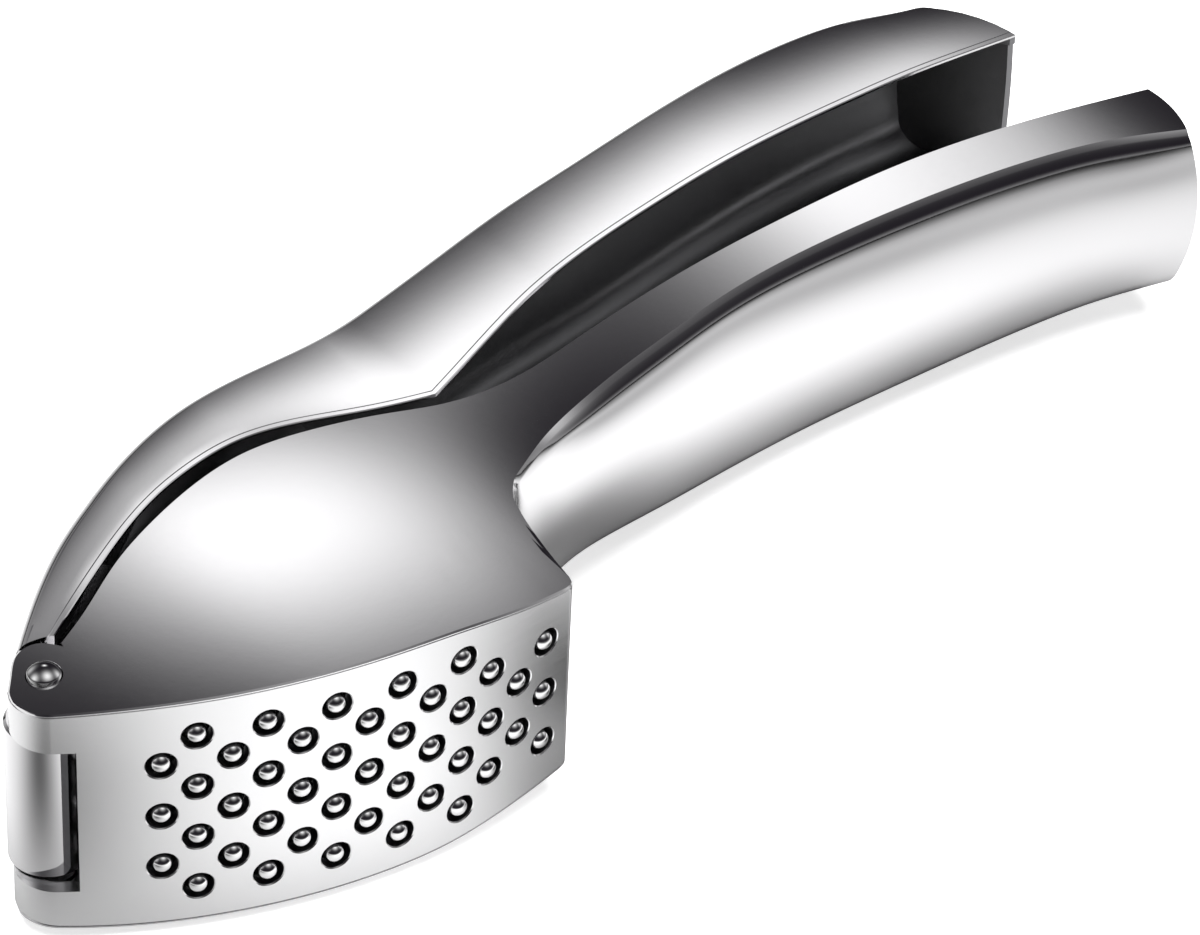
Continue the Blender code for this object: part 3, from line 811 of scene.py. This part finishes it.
def lever_shell():
    """The lever's lid and handle, one hollow form closed at both ends, with its hollow in slots 1 and 2:
    dull metal with painted shade, and darker painted shade on the end wall.
    """
    at, rows = lever_rows()
    length = at[-1]
    rings = []
    for t, row in zip(at, rows):
        hollow = 1.0 if NOSE_WALL < t < length - END_WALL else 0.02
        bow = 1.4 * max(0.0, (t - length + 10.0) / 10.0) ** 2
        ring, span = lever_ring(row, hollow, bow)
        rings.append(ring)
    shell = loft("lever_shell", rings, span)
    shade(shell, 30.0)
    side_normals(shell, lever_tilt)
    # Painted shade: the inner end wall near the handle's end takes slot 2, the darker copy of the hollow's
    # metal
    end_wall_from = rows[-1][0] - 6.5
    for polygon in shell.data.polygons:
        near_end = (polygon.center.x - HINGE.x) / MM > end_wall_from
        if polygon.material_index == 1 and near_end and polygon.normal.x < -0.5:
            polygon.material_index = 2
    return shell


def lever_inner():
    """What the shell carries: the barrel on the pin, its root, and two cheeks that hold the plunger."""
    radius, high = BARREL_RADIUS, BARREL_HALF_LENGTH
    edge = [(PIN_BORE - 0.02, high), (radius - 0.3, high), (radius, high - 0.3)]
    barrel = lathe("barrel", edge + [(r, -z) for r, z in reversed(edge)], 72)
    knuckle = prism("root", ROOT, -ROOT_HALF_WIDTH, ROOT_HALF_WIDTH)
    soften(knuckle, 0.4)
    near, far = CHEEK_SPAN
    cheeks = []
    for low, high in ((near, far), (-far, -near)):
        plate = prism("cheek", CHEEK, low, high)
        cut(plate, *dowel_holes())
        soften(plate, 0.3)
        cheeks.append(plate)
    return join("lever_root_and_cheeks", barrel, knuckle, *cheeks)


def make_lever():
    """The upper casting."""
    shell = lever_shell()
    inner = lever_inner()
    shade(inner, 30.0)
    finish_piece(inner, LEVER, CHROME, "polished_chrome")
    inner.parent = shell
    finish_piece(shell, LEVER, CHROME, "polished_chrome", "lever_arm")
    # Slots 1 and 2: the hollow's dull metal with painted shade, and a darker painted shade on its inner end
    # wall
    shell.data.materials.append(INSIDE_DULL_AND_PAINTED_SHADE)
    shell.data.materials.append(END_INSIDE_PAINTED_SHADE)


# ---------------------------------------------------------------- camera, floor and light

CAMERA_EYE = (-223.9, -361.6, 371.7)
CAMERA_AIM = (76.5, 9.4, 0.0)
CAMERA_ROLL = 2.62


def make_camera():
    """Looks down on the press from the nose side, at 38 degrees above the floor."""
    data = bpy.data.cameras.new("camera")
    data.lens = 169.0
    data.sensor_width = 36.0
    data.clip_end = 50.0
    made = bpy.data.objects.new("camera", data)
    bpy.context.scene.collection.objects.link(made)
    aim, eye = HINGE + Vector(CAMERA_AIM) * MM, HINGE + Vector(CAMERA_EYE) * MM
    turned = (aim - eye).to_track_quat("-Z", "Y").to_matrix().to_4x4()
    roll = Matrix.Rotation(math.radians(CAMERA_ROLL), 4, "Z")
    made.matrix_world = Matrix.Translation(eye) @ turned @ roll
    bpy.context.scene.camera = made


def maths(tree, kind, *values):
    """A Math node over numbers and sockets; gives its output."""
    node = tree.nodes.new("ShaderNodeMath")
    node.operation = kind
    for slot, value in zip(node.inputs, values):
        if isinstance(value, (int, float)):
            slot.default_value = value
        else:
            tree.links.new(value, slot)
    return node.outputs[0]


def bell(tree, distance, spread):
    """A soft round fall from 1 to 0 over a distance."""
    ratio = maths(tree, "DIVIDE", distance, spread)
    square = maths(tree, "MULTIPLY", ratio, ratio)
    return maths(tree, "EXPONENT", maths(tree, "MULTIPLY", square, -0.5))


# Painted shadows on the floor, where cards would shade it, seen in the metal only: X and Y in metres,
# spread, strength
PAINTED_FLOOR_SHADOWS = (
    (-0.008, -0.043, 0.0150, 0.97),
    (-0.025, -0.033, 0.0060, 0.60),
    (-0.102, -0.036, 0.0210, 0.90),
    (0.002, -0.015, 0.0120, 0.75),
    (0.085, -0.085, 0.0280, 0.40),
    *[(0.005 + 0.015 * step, 0.003, 0.0078, 0.72) for step in range(6)],
)
# A painted pool of light on the floor, as the metal sees it: centre and reach in metres, level
POOL_CENTRE = (-0.03, -0.03)
POOL_REACH = (0.20, 0.11)
POOL_LEVEL = 0.87
# What the camera sees of the floor besides the overhead lamp's light
FLOOR_GLOW = 0.62


def make_floor():
    """A pale floor. In reflections it carries a painted pool of light that fades with distance, as a floor
    lit over a small table does, and painted shadows.
    """
    data = bpy.data.meshes.new("floor")
    data.from_pydata([(-3, -3, 0), (3, -3, 0), (3, 3, 0), (-3, 3, 0)], [], [(0, 1, 2, 3)])
    made = bpy.data.objects.new("floor", data)
    bpy.context.scene.collection.objects.link(made)
    paint = bpy.data.materials.new("pale_floor")
    paint.use_nodes = True
    tree = paint.node_tree
    shader = tree.nodes["Principled BSDF"]
    place = tree.nodes.new("ShaderNodeTexCoord").outputs["Object"]

    def away_from(x, y):
        gap = tree.nodes.new("ShaderNodeVectorMath")
        gap.operation = "DISTANCE"
        gap.inputs[1].default_value = (x, y, 0.0)
        tree.links.new(place, gap.inputs[0])
        return gap.outputs["Value"]

    split = tree.nodes.new("ShaderNodeSeparateXYZ")
    tree.links.new(place, split.inputs[0])
    far = 1.0
    for axis in (0, 1):
        gap = maths(tree, "SUBTRACT", split.outputs[axis], POOL_CENTRE[axis])
        share = maths(tree, "DIVIDE", gap, POOL_REACH[axis])
        far = maths(tree, "ADD", maths(tree, "MULTIPLY", share, share), far)
    # The painted pool of light, then the painted shadows multiplied into it
    tone = maths(tree, "DIVIDE", POOL_LEVEL, far)
    for x, y, spread, strength in PAINTED_FLOOR_SHADOWS:
        painted_shadow = maths(tree, "MULTIPLY", bell(tree, away_from(x, y), spread), -strength)
        tone = maths(tree, "MULTIPLY", tone, maths(tree, "ADD", painted_shadow, 1.0))
    # Glossy rays see the painted pool and shadows; all other rays see an even pale floor
    seen = tree.nodes.new("ShaderNodeLightPath").outputs["Is Glossy Ray"]
    mixed = tree.nodes.new("ShaderNodeMix")
    tree.links.new(seen, mixed.inputs[0])
    mixed.inputs[2].default_value = 0.9
    tree.links.new(tone, mixed.inputs[3])
    tree.links.new(mixed.outputs[0], shader.inputs["Base Color"])
    glow = maths(tree, "MULTIPLY", maths(tree, "SUBTRACT", 1.0, seen), FLOOR_GLOW)
    shader.inputs["Emission Color"].default_value = (1, 1, 1, 1)
    tree.links.new(glow, shader.inputs["Emission Strength"])
    shader.inputs["Roughness"].default_value = 1.0
    shader.inputs["Specular IOR Level"].default_value = 0.0
    data.materials.append(paint)


# Soft lamps far away: direction, spread in degrees, strength
LAMPS = (
    ((0.441, 0.644, 0.626), 4.3, 1.25),
    ((-0.75, 0.25, 0.60), 14.0, 0.9),
    ((0.10, -0.35, 0.93), 16.0, 1.0),
    ((0.90, -0.20, 0.40), 12.0, 0.7),
    ((-0.20, 0.95, 0.25), 12.0, 0.5),
)
# A faint band of light round the horizon, its spread in degrees, and the dark between the lamps
HORIZON_GLOW = 0.16
HORIZON_SPREAD = 3.0
DARK = (0.016, 0.014, 0.018)


def make_world():
    """A dark studio with a few soft round lamps."""
    world = bpy.data.worlds.new("studio")
    bpy.context.scene.world = world
    world.use_nodes = True
    tree = world.node_tree
    place = tree.nodes.new("ShaderNodeTexCoord").outputs["Generated"]
    total = 0.0
    for direction, spread, strength in LAMPS:
        dot = tree.nodes.new("ShaderNodeVectorMath")
        dot.operation = "DOT_PRODUCT"
        dot.inputs[1].default_value = Vector(direction).normalized()
        tree.links.new(place, dot.inputs[0])
        angle = maths(tree, "ARCCOSINE", maths(tree, "MINIMUM", dot.outputs["Value"], 1.0))
        lamp = maths(tree, "MULTIPLY", bell(tree, angle, math.radians(spread)), strength)
        total = maths(tree, "ADD", total, lamp)
    split = tree.nodes.new("ShaderNodeSeparateXYZ")
    tree.links.new(place, split.inputs[0])
    level = maths(tree, "ARCSINE", split.outputs["Z"])
    band = maths(tree, "MULTIPLY", bell(tree, level, math.radians(HORIZON_SPREAD)), HORIZON_GLOW)
    total = maths(tree, "ADD", total, band)
    lamps = tree.nodes["Background"]
    tree.links.new(total, lamps.inputs["Strength"])
    lamps.inputs["Color"].default_value = (1, 1, 1, 1)
    base = tree.nodes.new("ShaderNodeBackground")
    base.inputs["Color"].default_value = (*DARK, 1)
    both = tree.nodes.new("ShaderNodeAddShader")
    tree.links.new(lamps.outputs[0], both.inputs[0])
    tree.links.new(base.outputs[0], both.inputs[1])
    tree.links.new(both.outputs[0], tree.nodes["World Output"].inputs["Surface"])


def make_floor_light():
    """A wide lamp overhead that lights the floor evenly and does not show in the metal."""
    data = bpy.data.lights.new("overhead", "AREA")
    data.shape = "DISK"
    data.size = 1.8
    data.energy = 46.0
    made = bpy.data.objects.new("overhead", data)
    made.location = (0.0, 0.0, 1.6)
    made.visible_glossy = False
    bpy.context.scene.collection.objects.link(made)


bpy.context.scene.view_settings.view_transform = "Standard"
make_camera()
make_floor()
make_world()
make_floor_light()
make_sieve()
make_body()
make_plunger()
make_hinge_pin()
make_lever()
for node, finish in (
    ("plunger_dowel_front", PIN_STEEL), ("plunger_dowel_rear", PIN_STEEL),
    ("hinge_washer_upper", WASHER_STEEL), ("hinge_washer_lower", WASHER_STEEL),
):
    kept = frame["nodes"][node]
    kept.data.materials.clear()
    kept.data.materials.append(finish)
